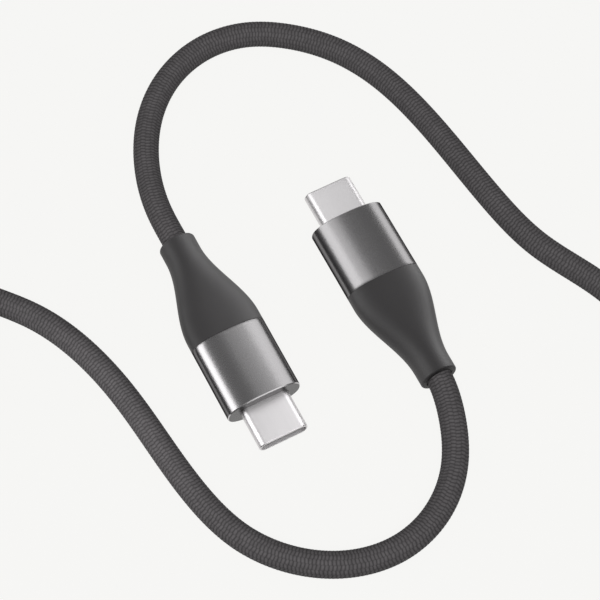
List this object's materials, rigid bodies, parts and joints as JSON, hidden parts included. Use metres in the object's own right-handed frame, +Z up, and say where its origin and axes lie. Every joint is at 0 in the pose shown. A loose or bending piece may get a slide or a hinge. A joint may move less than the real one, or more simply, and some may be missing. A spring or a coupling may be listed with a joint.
{
  "type": "charging cable",
  "caption": "Braided charging cable with a flat reversible plug on each end: metal shell, oval metal sleeve, tapering soft boot and a cord that loops from plug to plug.",
  "frame": {"origin": "on the floor, under the middle of the box round the two plugs", "axes": "+Y is the way plug B's nose points, plug A's nose points along -Y, +Z is up from the floor"},
  "size_m": [0.1447, 0.1216, 0.011],
  "materials": {
    "shell_nickel": "bright nickel plate",
    "insulator_black": "moulded",
    "contact_gold": "gold plate",
    "spring_steel": "pressed strip",
    "card_green": "solder mask",
    "can_steel": "pressed sheet",
    "mould_grey": "moulded",
    "sleeve_grey": "satin anodised",
    "boot_grey": "soft matt",
    "ferrule_brass": "crimped",
    "screen_copper": "braided screen",
    "jacket_black": "extruded",
    "wire_red": "extruded",
    "wire_black": "extruded",
    "wire_green": "extruded",
    "wire_blue": "extruded",
    "chip_black": "moulded",
    "capacitor_tan": "ceramic",
    "braid_grey": "fine braid",
    "strap_black": "woven strap"
  },
  "bodies": {
    "root": {"plug_a_shell": "shell_nickel", "plug_a_contact_housing": "insulator_black", "plug_a_upper_contacts": "contact_gold", "plug_a_lower_contacts": "contact_gold", "plug_a_latch_plate": "spring_steel", "plug_a_ground_springs": "spring_steel", "plug_a_paddle_card": "card_green", "plug_a_upper_can": "can_steel", "plug_a_lower_can": "can_steel", "plug_a_inner_mould": "mould_grey", "plug_a_sleeve": "sleeve_grey", "plug_a_boot": "boot_grey", "plug_a_crimp_ferrule": "ferrule_brass", "plug_a_screen_end": "screen_copper", "plug_a_jacket_end": "jacket_black", "plug_a_supply_wire": "wire_red", "plug_a_return_wire": "wire_black", "plug_a_data_wires": "wire_green", "plug_a_control_wire": "wire_blue", "plug_a_marker_chip": "chip_black", "plug_a_chip_capacitors": "capacitor_tan", "plug_b_shell": "shell_nickel", "plug_b_contact_housing": "insulator_black", "plug_b_upper_contacts": "contact_gold", "plug_b_lower_contacts": "contact_gold", "plug_b_latch_plate": "spring_steel", "plug_b_ground_springs": "spring_steel", "plug_b_paddle_card": "card_green", "plug_b_upper_can": "can_steel", "plug_b_lower_can": "can_steel", "plug_b_inner_mould": "mould_grey", "plug_b_sleeve": "sleeve_grey", "plug_b_boot": "boot_grey", "plug_b_crimp_ferrule": "ferrule_brass", "plug_b_screen_end": "screen_copper", "plug_b_jacket_end": "jacket_black", "plug_b_supply_wire": "wire_red", "plug_b_return_wire": "wire_black", "plug_b_data_wires": "wire_green", "plug_b_control_wire": "wire_blue", "cord_run_a": "braid_grey", "cord_run_b": "braid_grey", "cord_coil": "braid_grey", "coil_tie": "strap_black"}
  },
  "joints": []
}
